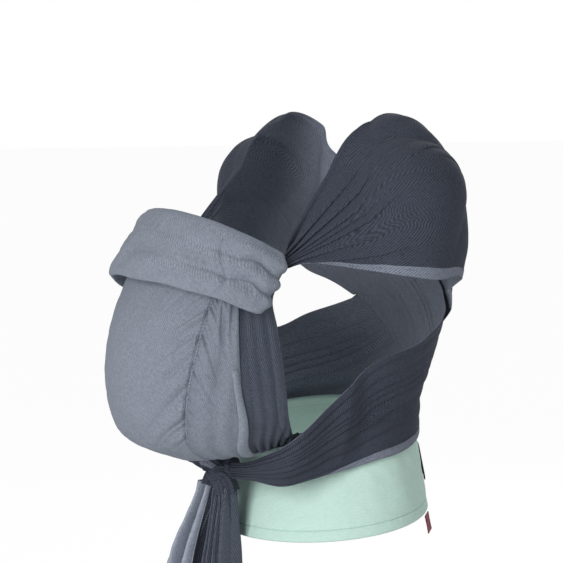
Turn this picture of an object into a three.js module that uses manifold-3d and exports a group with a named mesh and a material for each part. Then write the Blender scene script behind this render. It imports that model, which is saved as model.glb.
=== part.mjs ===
// A baby wrap carrier as it is worn: a waistband buckled behind, a pouch-shaped panel with a turned-down
// collar, and two wide cloth straps that fan over the shoulders, cross on the back, come round the waist
// and are knotted under the pouch, with their tails hanging.
// Millimetres. +Z is up and the wearer faces -Y. The origin is the middle of the waistband's lower opening.
import * as THREE from "three";
import Module from "manifold-3d";

const wasm = await Module();
wasm.setup();

const vec = (x, y, z) => new THREE.Vector3(x, y, z);
const { lerp, clamp, smoothstep } = THREE.MathUtils;

// ---- Driving dimensions -------------------------------------------------------------------------------

// The wearer's body, which shapes everything that lies on it: height, half width, half depth, middle's y.
const TORSO = [
  [-40, 143, 112, -6],
  [0, 132, 102, -5],
  [50, 118, 88, -3],
  [97, 105, 77, 0],
  [150, 116, 90, 4],
  [190, 126, 101, 8],
  [235, 135, 109, 12],
  [300, 142, 112, 10],
  [350, 138, 104, 8],
  [400, 108, 80, 6],
  [440, 72, 60, 0],
  [470, 52, 52, -12],
  [520, 47, 48, -28],
];
const TORSO_SQUARENESS = 2.2;
const SHOULDER_RADIUS = 45;
const SHOULDER_AXIS = [vec(55, 0, 406), vec(144, 14, 368)];
const UPPER_ARM_RADIUS = 55;
const UPPER_ARM_AXIS = [vec(144, 14, 364), vec(136, 7, 262)];
const BODY_BLEND = 8; // how softly the body's parts run into each other

const GAP = 0.4; // between pieces that are sewn or rest against each other

const WAIST = 113; // height of the band's upper edge above the origin, beside the body
const BAND_HEIGHT = 110; // from the waist down over the hips
const BAND_FOOT = { width: 133, depth: 103, y: -5 }; // half sizes inside the band's lower edge, on the hips
const BAND_TOP = { width: 106, depth: 78, y: 0 }; // and inside its upper edge, at the waist
const BAND_REST = WAIST - BAND_HEIGHT;
const BAND_TILT = 0.14; // rise towards the back, per millimetre
const BAND_CLOTH = 1.2;
const BAND_CORE = 4;
const LINING_OFF = 1.4; // from the wearer to the middle of the lining, then of the foam and of the cover
const CORE_OFF = LINING_OFF + BAND_CLOTH / 2 + GAP + BAND_CORE / 2;
const COVER_OFF = CORE_OFF + BAND_CORE / 2 + GAP + BAND_CLOTH / 2;
const BAND_FACE = COVER_OFF + BAND_CLOTH / 2;
const BAND_BULK = BAND_FACE + BAND_CLOTH; // what the straps pass over: the band with its seams
const CORE_INSET = 9; // the foam stops short of the band's edges by its seam allowance
const BAND_END_X = 64; // where the padded band stops on each side of the spine

const STRAP_CLOTH = 3.2; // the bulk of a strap's gathered cloth
const STRAP_CLEARANCE = 3.2; // from the body to the middle of the cloth
const CROSSING_LIFT = 5.4; // how much further out the upper strap lies where the two cross
const SHOULDER_END = 0.4; // shares of a strap's route where it leaves the shoulder and the back
const BACK_END = 0.7;

const PANEL_CLOTH = 2;
const PANEL_LAYER_GAP = 1.2;
const SEAM_ANGLE = 46; // degrees from the pouch's middle to the seam of its side panel
const PANEL_EDGE_ANGLE = 67; // to the edge of the outer cloth, past which the inner panel is seen

const COLLAR_THICKNESS = 9;

const TAIL_LENGTH = 470;
const TAIL_TOP = { width: 14, depth: 9 }; // half sizes where a tail leaves the knot
const TAIL_FOOT = { left: { width: 46, depth: 27 }, right: { width: 30, depth: 23 } }; // and once spread
const TAIL_SPACING = 0.6; // each side of the plane between the two tails
const TAIL_LEAN = -32; // how far the tails drift to the wearer's right on their way down

const KNOT = vec(0, -138, 65);
const KNOT_RING = 13.5;
const KNOT_BULK = 6.4; // radius of the twisted cloth in the knot

const WEBBING_HEIGHT = 38;
const WEBBING_CLOTH = 1.6;
const WEBBING_STRAIGHT = 54; // x where each webbing bends towards its end of the band
const WEBBING_LIFT = 0.7; // off the band's face, which is flat between its facets' edges
const BUCKLE_HEIGHT = 50;
const BUCKLE_DEPTH = 9.4;
const BUCKLE_WALL = 1.8;
const SOCKET_LENGTH = 30;
const SOCKET_FLOOR = 3; // its closed end, which the left webbing is moulded into
const WINDOW = [9, 22]; // x between which the socket is open above and below for the thumb pads
const PAD = [10, 21]; // x between which a prong's thumb pad stands in that window
const TONGUE_LENGTH = 27;
const PRONG_LENGTH = 24;
const PRONG_WIDTH = 5;
const PRONG_DEPTH = 2.2;
const PRONG_SPREAD = 16.5; // from the buckle's middle to a prong's middle
const GUIDE_WIDTH = 12;
const BUCKLE_CLEARANCE = 0.5;

const LABEL = [20, 20, 1];
const LABEL_SHARE = 0.918; // of the way round the band's lower edge, near its end on the wearer's left

// ---- Shapes that follow the body ----------------------------------------------------------------------

function sectionAt(z) {
  const last = TORSO.length - 1;
  const i = clamp(TORSO.findIndex((row) => row[0] >= z) - 1, 0, last - 1);
  const from = z >= TORSO[last][0] ? TORSO[last] : TORSO[i];
  const to = z >= TORSO[last][0] ? TORSO[last] : TORSO[i + 1];
  const share = from === to ? 0 : clamp((z - from[0]) / (to[0] - from[0]), 0, 1);
  const [width, depth, y] = [1, 2, 3].map((k) => lerp(from[k], to[k], share));
  return { width, depth, y };
}

function rodDistance(p, [from, to], radius) {
  const nearest = new THREE.Line3(from, to).closestPointToPoint(p, true, vec(0, 0, 0));
  return p.distanceTo(nearest) - radius;
}

// How far a point is outside the waistband, which the straps pass over.
function outsideBand(p) {
  const h = p.z - BAND_REST - BAND_TILT * p.y;
  const rise = clamp(h / BAND_HEIGHT, 0, 1);
  const width = lerp(BAND_FOOT.width, BAND_TOP.width, rise) + BAND_BULK;
  const depth = lerp(BAND_FOOT.depth, BAND_TOP.depth, rise) + BAND_BULK;
  const y = lerp(BAND_FOOT.y, BAND_TOP.y, rise);
  const reach = Math.max(Math.hypot(p.x / width, (p.y - y) / depth), 1e-3);
  const beside = Math.hypot(p.x, p.y - y) * (1 - 1 / reach);
  const above = Math.max(h - BAND_HEIGHT, -h, 0);
  return above > 0 ? Math.hypot(Math.max(beside, 0), above) : beside;
}

// How far a point is outside the body, near enough to a distance to be followed outwards.
function outside(p) {
  const { width, depth, y } = sectionAt(p.z);
  const n = TORSO_SQUARENESS;
  const reach = ((Math.abs(p.x) / width) ** n + (Math.abs(p.y - y) / depth) ** n) ** (1 / n);
  const torso = Math.hypot(p.x, p.y - y) * (1 - 1 / Math.max(reach, 1e-3));
  const sided = vec(Math.abs(p.x), p.y, p.z);
  const parts = [
    torso,
    rodDistance(sided, SHOULDER_AXIS, SHOULDER_RADIUS),
    rodDistance(sided, UPPER_ARM_AXIS, UPPER_ARM_RADIUS),
    outsideBand(p),
  ];
  const nearest = Math.min(...parts);
  const crowd = parts.reduce((sum, d) => sum + Math.exp((nearest - d) / BODY_BLEND), 0);
  return nearest - BODY_BLEND * Math.log(crowd);
}

// Moves a point of cloth out to the given clearance from the body. Where the cloth is taut (1), a point
// further out is drawn in to that clearance as well; where it is slack (0), it stays.
function hug(p, clearance, taut) {
  const step = 0.5;
  for (let turn = 0; turn < 8; turn++) {
    const here = outside(p);
    const slope = vec(
      outside(vec(p.x + step, p.y, p.z)) - outside(vec(p.x - step, p.y, p.z)),
      outside(vec(p.x, p.y + step, p.z)) - outside(vec(p.x, p.y - step, p.z)),
      outside(vec(p.x, p.y, p.z + step)) - outside(vec(p.x, p.y, p.z - step)),
    ).divideScalar(2 * step);
    const steepness = Math.max(slope.length(), 0.2);
    const short = clearance - here / steepness;
    const move = short > 0 ? short : short * taut;
    if (Math.abs(move) < 0.01) break;
    p.addScaledVector(slope, move / steepness);
  }
  return p;
}

// ---- Making solids ------------------------------------------------------------------------------------

function facingOut(geometry) {
  const p = geometry.getAttribute("position");
  const index = geometry.index;
  const corner = (k) => new THREE.Vector3().fromBufferAttribute(p, index.getX(k));
  let volume = 0;
  for (let k = 0; k < index.count; k += 3) volume += corner(k).dot(corner(k + 1).cross(corner(k + 2)));
  if (volume < 0) {
    for (let k = 0; k < index.count; k += 3) {
      const second = index.getX(k + 1);
      index.setX(k + 1, index.getX(k + 2));
      index.setX(k + 2, second);
    }
  }
  geometry.computeVertexNormals();
  return geometry;
}

// A closed slab of cloth: a box whose length runs over s, its width over t, and its thickness along the
// normal of surface(s, t).
function cloth(surface, thickness, [sSteps, tSteps], [s0, s1] = [0, 1], [t0, t1] = [0, 1], offset = 0) {
  const geometry = new THREE.BoxGeometry(1, 1, 1, sSteps, tSteps, 1);
  const p = geometry.getAttribute("position");
  const d = 0.004;
  for (let i = 0; i < p.count; i++) {
    const s = lerp(s0, s1, p.getX(i) + 0.5);
    const t = lerp(t0, t1, p.getY(i) + 0.5);
    const along = surface(clamp(s + d, 0, 1), t).sub(surface(clamp(s - d, 0, 1), t));
    const across = surface(s, clamp(t + d, 0, 1)).sub(surface(s, clamp(t - d, 0, 1)));
    const normal = along.cross(across).normalize();
    const place = surface(s, t).addScaledVector(normal, offset + p.getZ(i) * thickness);
    p.setXYZ(i, place.x, place.y, place.z);
  }
  return facingOut(geometry);
}

// A three.js geometry as a manifold-3d solid, and back.
function solidOf(geometry) {
  const plain = geometry.index ? geometry.toNonIndexed() : geometry;
  const p = plain.getAttribute("position");
  const places = new Map();
  const vertices = [];
  const triVerts = new Uint32Array(p.count);
  for (let i = 0; i < p.count; i++) {
    const key = [p.getX(i), p.getY(i), p.getZ(i)].map((v) => Math.round(v * 1e4)).join();
    if (!places.has(key)) {
      places.set(key, vertices.length / 3);
      vertices.push(p.getX(i), p.getY(i), p.getZ(i));
    }
    triVerts[i] = places.get(key);
  }
  const vertProperties = new Float32Array(vertices);
  return new wasm.Manifold(new wasm.Mesh({ numProp: 3, vertProperties, triVerts }));
}

function geometryOf(solid) {
  const mesh = solid.getMesh();
  const geometry = new THREE.BufferGeometry();
  const places = new Float32Array(mesh.numVert * 3);
  for (let i = 0; i < mesh.numVert; i++) {
    places.set(mesh.vertProperties.subarray(i * mesh.numProp, i * mesh.numProp + 3), i * 3);
  }
  geometry.setAttribute("position", new THREE.BufferAttribute(places, 3));
  geometry.setIndex(new THREE.BufferAttribute(mesh.triVerts, 1));
  geometry.computeVertexNormals();
  return geometry;
}

// A block between two x, with its middle at y and z.
function block([x0, x1], y, z, depth, height) {
  return new THREE.BoxGeometry(x1 - x0, depth, height).translate((x0 + x1) / 2, y, z);
}

const root = new THREE.Group();

function add(name, geometry, material) {
  const mesh = new THREE.Mesh(geometry, material);
  mesh.name = name;
  root.add(mesh);
  return mesh;
}

function finish(color, roughness, metalness = 0) {
  return new THREE.MeshStandardMaterial({ color, roughness, metalness });
}

const mint = finish(0xaed8c8, 0.9);
const mintLining = finish(0x9fcbbb, 0.95);
const foam = finish(0xe8e6e0, 1);
const greyCloth = finish(0x6b7686, 0.92);
const darkCloth = finish(0x333a49, 0.92);
const collarCloth = finish(0x6f7989, 0.95);
const webbing = finish(0x23262e, 0.85);
const plastic = finish(0x1b1d22, 0.4);
const labelCloth = finish(0x7a1433, 0.8);

// ---- Waistband: cover, foam core and lining, open behind ----------------------------------------------

// A point of the band at share s of its way round, from its end on the wearer's right, past the front, to
// its end on the left, at height h above its lower edge and off millimetres from the body.
function bandPoint(s, h, off) {
  const rise = h / BAND_HEIGHT;
  const start = Math.asin(BAND_END_X / BAND_FOOT.width);
  const angle = lerp(start, 2 * Math.PI - start, s);
  const width = lerp(BAND_FOOT.width, BAND_TOP.width, rise) + off;
  const depth = lerp(BAND_FOOT.depth, BAND_TOP.depth, rise) + off;
  const y = lerp(BAND_FOOT.y, BAND_TOP.y, rise) + depth * Math.cos(angle);
  return vec(-width * Math.sin(angle), y, BAND_REST + h + BAND_TILT * y);
}

const bandLayer = (off, low, high) => (s, t) => bandPoint(s, lerp(low, high, t), off);
const BAND_FACETS = 48; // the foam stops one facet short of each end, inside the closed ends of the cover

add(
  "waistband_lining",
  cloth(bandLayer(LINING_OFF, 0, BAND_HEIGHT), BAND_CLOTH, [BAND_FACETS, 1]),
  mintLining,
);
add(
  "waistband_core",
  cloth(
    bandLayer(CORE_OFF, CORE_INSET, BAND_HEIGHT - CORE_INSET),
    BAND_CORE,
    [BAND_FACETS - 2, 1],
    [1 / BAND_FACETS, 1 - 1 / BAND_FACETS],
  ),
  foam,
);
add("waistband_cover", cloth(bandLayer(COVER_OFF, 0, BAND_HEIGHT), BAND_CLOTH, [BAND_FACETS, 1]), mint);

// ---- Panel: a pouch lofted from half ellipses between its two edges -----------------------------------

// A point just above the band's cover, where the panel is sewn to it.
function onBand(share) {
  return bandPoint(share, BAND_HEIGHT, COVER_OFF).add(vec(0, 0, GAP + PANEL_CLOTH / 2));
}

// The right-hand edge and the middle of the pouch, from its rim down to the waistband.
const PANEL_EDGE = new THREE.CatmullRomCurve3(
  [
    vec(106.5, -124, 291),
    vec(107, -130, 275),
    vec(108, -137, 256),
    vec(112, -133, 226),
    vec(114, -126, 180),
    vec(114, -122, 140),
    vec(107, -114, 120),
    vec(99, -106, 111),
    vec(90, -98, 105),
    onBand(0.645),
  ],
  false,
  "catmullrom",
  0.5,
);
const PANEL_MIDDLE = new THREE.CatmullRomCurve3(
  [
    vec(0, -205, 336),
    vec(0, -218, 306),
    vec(0, -236, 268),
    vec(0, -255, 222),
    vec(0, -263, 172),
    vec(0, -253, 126),
    vec(0, -229, 97),
    vec(0, -190, 84),
    vec(0, -150, 88),
    onBand(0.5),
  ],
  false,
  "catmullrom",
  0.5,
);

// A half ellipse through a left edge, a middle and a right edge; the angle runs from -90 to 90 degrees.
function arch(edge, middle, angle) {
  const across = Math.sin(THREE.MathUtils.degToRad(angle));
  const out = Math.cos(THREE.MathUtils.degToRad(angle));
  return vec(edge.x * across, lerp(edge.y, middle.y, out), lerp(edge.z, middle.z, out));
}

const pouch = (from, to) => (s, t) =>
  arch(PANEL_EDGE.getPoint(t), PANEL_MIDDLE.getPoint(t), lerp(from, to, s));
const PANEL_OUTER_SHARE = [0.1, 0.955]; // of the way down, where the outer cloth starts and stops
const SEAM_GAP = 0.2; // degrees left between neighbours in one layer
const OUTER_LAYER = -PANEL_CLOTH - PANEL_LAYER_GAP; // outwards is the negative side of the pouch's surface
const outerCloth = (from, to, steps) =>
  cloth(pouch(from, to), PANEL_CLOTH, [steps, 14], [0, 1], PANEL_OUTER_SHARE, OUTER_LAYER);

add("panel_inner", cloth(pouch(-90, 90), PANEL_CLOTH, [20, 14]), darkCloth);
add("panel_centre", outerCloth(-SEAM_ANGLE, SEAM_ANGLE, 10), greyCloth);
add("panel_side_left", outerCloth(SEAM_ANGLE + SEAM_GAP, PANEL_EDGE_ANGLE, 3), greyCloth);
add("panel_side_right", outerCloth(-PANEL_EDGE_ANGLE, -SEAM_ANGLE - SEAM_GAP, 3), greyCloth);

// ---- Collar: the top of the panel, turned down outwards -----------------------------------------------

const COLLAR_RIM = [vec(112, -121, 301), vec(0, -203, 348)];
const COLLAR_FOOT = [vec(124, -152, 243), vec(0, -251, 283)];
const COLLAR_FOLDS = 2; // the turned-down part and the roll that it is folded over
const COLLAR_SEAT = 1; // half the panel's cloth that the rim and foot leave room for
const foldThickness = (COLLAR_THICKNESS - GAP) / COLLAR_FOLDS;

const collarSheet = (s, t) =>
  arch(
    COLLAR_RIM[0].clone().lerp(COLLAR_FOOT[0], t),
    COLLAR_RIM[1].clone().lerp(COLLAR_FOOT[1], t),
    lerp(-90, 90, s),
  );
const foldOffset = (foldThickness + GAP) / 2;
const collarShift = COLLAR_SEAT - PANEL_CLOTH / 2;
const fold = (foot, offset) =>
  cloth(collarSheet, foldThickness, [20, 3], [0, 1], [0, foot], collarShift + offset);
add("collar_cuff", fold(1, -foldOffset), collarCloth);
add("collar_roll", fold(0.86, foldOffset), collarCloth);

// ---- Straps: one length of cloth a side, from the panel's top corner to the knot ----------------------

// The left strap's neck edge, middle and hem edge at matching places along its route: root, chest,
// shoulder, shoulder blade, crossing on the spine, right waist, and in front to the knot.
const NECK_EDGE = [
  [103.5, -120, 303], [97, -95, 342], [89, -46, 400], [90, -8, 438], [98, 19, 453], [100, 56, 440],
  [72, 94, 395], [20, 120, 335], [-40, 120, 274], [-90, 98, 236], [-125, 40, 212], [-130, -14, 188],
  [-121, -62, 150], [-118, -114, 110], [-68, -134, 82], [-27.4, -138, 73],
];
const MIDDLE_LINE = [
  [105.5, -121.3, 296], [112, -102, 322], [131, -60, 356], [152, -12, 404], [168, 36, 405], [160, 72, 368],
  [112, 104, 328], [44, 124, 274], [-22, 120, 220], [-76, 92, 176], [-116, 35, 150], [-128, -18, 133],
  [-119, -70, 108], [-113, -118, 84], [-66, -137, 71], [-27.4, -138, 65],
];
const HEM_EDGE = [
  [106.5, -122.4, 289.5], [128, -103, 297], [158, -60, 291], [186, -20, 284], [194, 16, 279],
  [180, 54, 280], [136, 98, 254], [70, 122, 216], [0, 115, 165], [-58, 85, 115], [-104, 28, 86],
  [-120, -20, 77], [-114, -75, 67], [-101, -118, 58], [-62, -136, 60], [-27.4, -138, 57],
];
const smoothCurve = (points) => new THREE.CatmullRomCurve3(points, false, "catmullrom", 0.5);
const railOf = (points) => smoothCurve(points.map((p) => vec(...p)));
const neckRail = railOf(NECK_EDGE);
const middleRail = railOf(MIDDLE_LINE);
const hemRail = railOf(HEM_EDGE);
// Shares of the route where the upper strap's lift starts, is full, ends and is gone, and likewise where
// the cloth lies flat on the back.
const CROSSING = [0.33, 0.42, 0.63, 0.74];
const TAUT = [0.34, 0.42, 0.7, 0.78];

// Rises from 0 to 1 between the first two shares and falls back between the last two.
function between(s, [start, full, end, gone]) {
  return smoothstep(s, start, full) * (1 - smoothstep(s, end, gone));
}

const strap = (lift) => (s, t) => {
  const p = neckRail.getPoint(s).multiplyScalar(2 * t * t - 3 * t + 1);
  p.addScaledVector(middleRail.getPoint(s), 4 * t - 4 * t * t);
  p.addScaledVector(hemRail.getPoint(s), 2 * t * t - t);
  return hug(p, STRAP_CLEARANCE + lift * between(s, CROSSING), between(s, TAUT));
};

const STRAP_ROUTE = 900; // a strap's length from its root to the knot, near enough for its gaps
const strapGap = GAP / STRAP_ROUTE;
const stretches = [
  ["shoulder", [0, SHOULDER_END], [18, 8]],
  ["back", [SHOULDER_END + strapGap, BACK_END], [15, 8]],
  ["waist", [BACK_END + strapGap, 1], [14, 8]],
];
for (const [name, range, steps] of stretches) {
  const left = cloth(strap(CROSSING_LIFT), STRAP_CLOTH, steps, range);
  const right = facingOut(cloth(strap(0), STRAP_CLOTH, steps, range).scale(-1, 1, 1));
  add(`left_strap_${name}`, left, darkCloth);
  add(`right_strap_${name}`, right, darkCloth);
}

// ---- Knot: each strap takes one turn round the other --------------------------------------------------

for (const [side, sign] of [["left", -1], ["right", 1]]) {
  const turn = new THREE.TorusGeometry(KNOT_RING, KNOT_BULK, 10, 22);
  turn.rotateX(THREE.MathUtils.degToRad(45 * sign));
  turn.translate(KNOT.x + (sign * KNOT_RING) / 2, KNOT.y, KNOT.z);
  add(`${side}_knot_turn`, turn, darkCloth);
}

// ---- Tails: the ends of the straps below the knot -----------------------------------------------------

// One strap's tail, from the knot down. Its top is a half round that it swings about, and it spreads away
// from the plane between the two.
function tail(sign, foot) {
  const roundSteps = 4;
  const steps = 14;
  const geometry = new THREE.CylinderGeometry(1, 1, 1, 18, steps);
  const p = geometry.getAttribute("position");
  const round = TAIL_TOP.depth;
  const low = KNOT_RING * Math.SQRT1_2; // how far below and beside the knot's middle its lowest turns lie
  const top = KNOT.z - low - Math.sqrt((round + KNOT_BULK + GAP) ** 2 - low ** 2) + round;
  for (let i = 0; i < p.count; i++) {
    const row = (0.5 - p.getY(i)) * steps;
    const turn = THREE.MathUtils.degToRad(lerp(18, 90, Math.min(row / roundSteps, 1)));
    const below = Math.max(row - roundSteps, 0) / (steps - roundSteps);
    const fall = lerp(round, TAIL_LENGTH, below) - round * Math.cos(turn);
    const share = fall / TAIL_LENGTH;
    const spread = smoothstep(share, 0, 0.25);
    const width = lerp(TAIL_TOP.width, foot.width, spread);
    const depth = lerp(TAIL_TOP.depth, foot.depth, spread) * Math.sin(turn);
    const x = TAIL_LEAN * spread + sign * (TAIL_SPACING + width) + p.getX(i) * width;
    p.setXYZ(i, x, KNOT.y + p.getZ(i) * depth, top - fall);
  }
  return facingOut(geometry);
}

add("left_strap_tail", tail(-1, TAIL_FOOT.left), darkCloth);
add("right_strap_tail", tail(1, TAIL_FOOT.right), darkCloth);

// ---- Buckle behind: webbing, socket, and a tongue with two spring prongs ------------------------------

const webbingY = bandPoint(0, BAND_HEIGHT / 2, BAND_FACE).y + 3; // just behind the ends of the band
const buckleZ = BAND_REST + BAND_HEIGHT / 2 + BAND_TILT * webbingY - 4;
const buckleY = webbingY + BUCKLE_DEPTH / 2 - WEBBING_CLOTH / 2 - BUCKLE_WALL - BUCKLE_CLEARANCE;
const tongueEnd = -1; // where the tongue's shoulder stops against the socket's mouth, at x = 0

// Webbing sewn to the band's face near its end and running on to x = reach behind the spine.
function webbingStrip(sign, reach) {
  const middle = BAND_HEIGHT / 2 - 4;
  const rail = (rise) => {
    const off = BAND_FACE + WEBBING_LIFT + WEBBING_CLOTH / 2;
    const sewn = [0.05, 0.025, 0].map((inset) =>
      bandPoint(sign > 0 ? 1 - inset : inset, middle + rise, off),
    );
    const free = [1, 2 / 3, 1 / 3, 0].map((share) =>
      vec(sign * lerp(reach, WEBBING_STRAIGHT, share), webbingY, buckleZ + rise),
    );
    return smoothCurve([...sewn, ...free]);
  };
  const low = rail(-WEBBING_HEIGHT / 2);
  const high = rail(WEBBING_HEIGHT / 2);
  return cloth((s, t) => low.getPoint(s).lerp(high.getPoint(s), t), WEBBING_CLOTH, [15, 1]);
}

add("webbing_left", webbingStrip(1, SOCKET_LENGTH + GAP), webbing);
add("webbing_right", webbingStrip(-1, 4), webbing);

function joined(...geometries) {
  return geometries.map(solidOf).reduce((whole, piece) => whole.add(piece));
}

// The socket is a flat box open at x = 0, with a window in each side for a prong.
const prongY = buckleY + BUCKLE_DEPTH / 2 - BUCKLE_WALL - BUCKLE_CLEARANCE - PRONG_DEPTH / 2;
const cavityDepth = BUCKLE_DEPTH - 2 * BUCKLE_WALL;
const cavityHeight = BUCKLE_HEIGHT - 2 * BUCKLE_WALL;
const through = 5; // how far a cut runs past the face that it opens
const shell = block([0, SOCKET_LENGTH], buckleY, buckleZ, BUCKLE_DEPTH, BUCKLE_HEIGHT);
const cavity = block([-through, SOCKET_LENGTH - SOCKET_FLOOR], buckleY, buckleZ, cavityDepth, cavityHeight);
const windows = block(WINDOW, buckleY, buckleZ, cavityDepth, BUCKLE_HEIGHT + 2 * through);
const socket = solidOf(shell).subtract(solidOf(cavity)).subtract(solidOf(windows));
add("buckle_socket", geometryOf(socket), plastic);

// The tongue's shoulder has a tunnel for the webbing, which it slides along, and a guide up its middle.
const tunnel = block(
  [-TONGUE_LENGTH - 10, 10],
  webbingY,
  buckleZ,
  WEBBING_CLOTH + 2 * BUCKLE_CLEARANCE,
  WEBBING_HEIGHT + 2 * BUCKLE_CLEARANCE,
);
const guideLength = PRONG_LENGTH - 3;
const tongue = joined(
  block([tongueEnd - TONGUE_LENGTH, tongueEnd], buckleY, buckleZ, BUCKLE_DEPTH, BUCKLE_HEIGHT - 2),
  block([tongueEnd - 1, tongueEnd + guideLength], prongY, buckleZ, PRONG_DEPTH, GUIDE_WIDTH),
).subtract(solidOf(tunnel));
add("buckle_tongue", geometryOf(tongue), plastic);

// A prong: a springy arm with a thumb pad near its tip, level with the socket's window.
for (const [side, sign] of [["upper", 1], ["lower", -1]]) {
  const armZ = buckleZ + sign * PRONG_SPREAD;
  const padHeight = cavityHeight / 2 - PRONG_SPREAD - BUCKLE_CLEARANCE;
  const arm = block([tongueEnd + GAP, tongueEnd + PRONG_LENGTH], prongY, armZ, PRONG_DEPTH, PRONG_WIDTH);
  const pad = block(PAD, prongY, armZ + (sign * padHeight) / 2, PRONG_DEPTH, padHeight);
  add(`${side}_prong`, geometryOf(joined(arm, pad)), plastic);
}

// ---- Label sewn into the band's lower hem -------------------------------------------------------------

const hem = bandPoint(LABEL_SHARE, 0, COVER_OFF);
const along = bandPoint(LABEL_SHARE + 0.01, 0, COVER_OFF).sub(hem).normalize();
const up = bandPoint(LABEL_SHARE, 10, COVER_OFF).sub(hem);
up.addScaledVector(along, -up.dot(along)).normalize();
const label = new THREE.BoxGeometry(...LABEL);
label.translate(0, -LABEL[1] / 2 - GAP, 0);
const place = new THREE.Matrix4().makeBasis(along, up, along.clone().cross(up)).setPosition(hem);
label.applyMatrix4(place);
add("label_tag", label, labelCloth);

export default root;
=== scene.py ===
"""Looks of a baby wrap carrier, as worn: waistband, pouch panel, turned-down collar, wrap straps and knot.

Lengths are millimetres until a mesh is filled, which is in metres, as are the places of lamps and camera.
"""

import math

import bpy
import numpy as np
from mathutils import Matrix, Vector


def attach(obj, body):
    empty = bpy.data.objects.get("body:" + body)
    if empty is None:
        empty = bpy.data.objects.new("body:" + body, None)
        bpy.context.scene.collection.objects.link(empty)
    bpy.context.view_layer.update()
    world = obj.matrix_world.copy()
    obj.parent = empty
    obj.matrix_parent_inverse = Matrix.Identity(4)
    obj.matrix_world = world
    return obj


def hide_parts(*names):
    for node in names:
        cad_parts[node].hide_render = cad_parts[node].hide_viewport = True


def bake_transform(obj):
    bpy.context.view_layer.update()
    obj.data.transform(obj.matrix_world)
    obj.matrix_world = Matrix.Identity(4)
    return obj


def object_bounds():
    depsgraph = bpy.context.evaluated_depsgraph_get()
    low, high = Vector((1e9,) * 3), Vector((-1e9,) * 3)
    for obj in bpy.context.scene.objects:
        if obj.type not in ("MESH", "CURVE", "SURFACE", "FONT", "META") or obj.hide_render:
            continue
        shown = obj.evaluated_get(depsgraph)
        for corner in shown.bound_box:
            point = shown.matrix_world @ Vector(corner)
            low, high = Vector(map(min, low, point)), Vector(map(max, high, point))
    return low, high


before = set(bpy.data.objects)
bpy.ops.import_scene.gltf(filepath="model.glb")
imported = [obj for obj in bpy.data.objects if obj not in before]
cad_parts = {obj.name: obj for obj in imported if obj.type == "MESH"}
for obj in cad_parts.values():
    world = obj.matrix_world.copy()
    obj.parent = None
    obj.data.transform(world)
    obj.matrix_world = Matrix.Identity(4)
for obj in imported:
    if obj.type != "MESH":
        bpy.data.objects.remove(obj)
cad_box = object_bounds()

# ---- Camera ------------------------------------------------------------------------------------------
# It stands at the wearer's left front, a little above chest height, and sees the pouch, the near shoulder
# and the tops of the tails.

VIEW_AZIMUTH = 58.0
VIEW_ELEVATION = 5.0
VIEW_DISTANCE = 2.4
VIEW_CENTRE = np.array([0.0, -0.058, 0.266])


def direction(azimuth, elevation):
    """Unit vector from the object to a place seen at that azimuth (0 is -Y, 90 is +X) and elevation."""
    a, e = math.radians(azimuth), math.radians(elevation)
    return np.array([math.sin(a) * math.cos(e), -math.cos(a) * math.cos(e), math.sin(e)])


def aimed(data, place, target):
    """Adds a camera or lamp at a place, looking at the target."""
    item = bpy.data.objects.new(data.name, data)
    item.location = place
    item.rotation_euler = Vector(target - np.asarray(place)).to_track_quat("-Z", "Y").to_euler()
    bpy.context.scene.collection.objects.link(item)
    return item


bpy.context.scene.view_settings.view_transform = "Standard"
lens = bpy.data.cameras.new("camera")
lens.sensor_width = 36.0
lens.lens = 138.1
lens.clip_end = 50.0
eye = VIEW_CENTRE + VIEW_DISTANCE * direction(VIEW_AZIMUTH, VIEW_ELEVATION)
bpy.context.scene.camera = aimed(lens, eye, VIEW_CENTRE)


# ---- Light, backdrop and floor -----------------------------------------------------------------------
# A bright plain studio: one large soft lamp at the camera's left, weaker ones at its right and behind, a
# white surround, and a pale floor under the tails that keeps the shadow.


class Shade:
    """An output of a material's nodes. Arithmetic on it adds Math nodes to the same material."""

    def __init__(self, paint, socket):
        self.paint = paint
        self.socket = socket

    def _math(self, operation, first, second):
        return self.paint.node("ShaderNodeMath", {"operation": operation}, {0: first, 1: second})

    def __add__(self, other):
        return self._math("ADD", self, other)

    __radd__ = __add__

    def __sub__(self, other):
        return self._math("SUBTRACT", self, other)

    def __rsub__(self, other):
        return self._math("SUBTRACT", other, self)

    def __mul__(self, other):
        return self._math("MULTIPLY", self, other)

    __rmul__ = __mul__

    def most(self, other):
        return self._math("MAXIMUM", self, other)


class Paint:
    """A node tree, filled by one method: a node's type, its settings, and its sockets' values or links."""

    def __init__(self, tree):
        self.tree = tree
        tree.nodes.clear()

    def node(self, kind, settings=None, sockets=None, output=0):
        made = self.tree.nodes.new(kind)
        for name, value in (settings or {}).items():
            setattr(made, name, value)
        for key, value in (sockets or {}).items():
            if isinstance(value, Shade):
                self.tree.links.new(value.socket, made.inputs[key])
            else:
                made.inputs[key].default_value = value
        return Shade(self, made.outputs[output]) if len(made.outputs) else made


def light_path(paint):
    """1 for rays that show the surround itself: seen straight, in a gloss, or through something clear."""
    path = paint.tree.nodes.new("ShaderNodeLightPath")
    seen = [Shade(paint, path.outputs[f"Is {ray} Ray"]) for ray in ("Camera", "Glossy", "Transmission")]
    return seen[0].most(seen[1]).most(seen[2])


SURROUND_LIGHT = 0.31
world = bpy.data.worlds.new("surround")
world.use_nodes = True
bpy.context.scene.world = world
air = Paint(world.node_tree)
soft_grey = air.node("ShaderNodeBackground", None, {"Color": (1, 1, 1, 1), "Strength": SURROUND_LIGHT})
white = air.node("ShaderNodeBackground", None, {"Color": (1, 1, 1, 1), "Strength": 1.0})
surround = air.node("ShaderNodeMixShader", None, {0: light_path(air), 1: soft_grey, 2: white})
air.node("ShaderNodeOutputWorld", None, {"Surface": surround})


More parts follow.
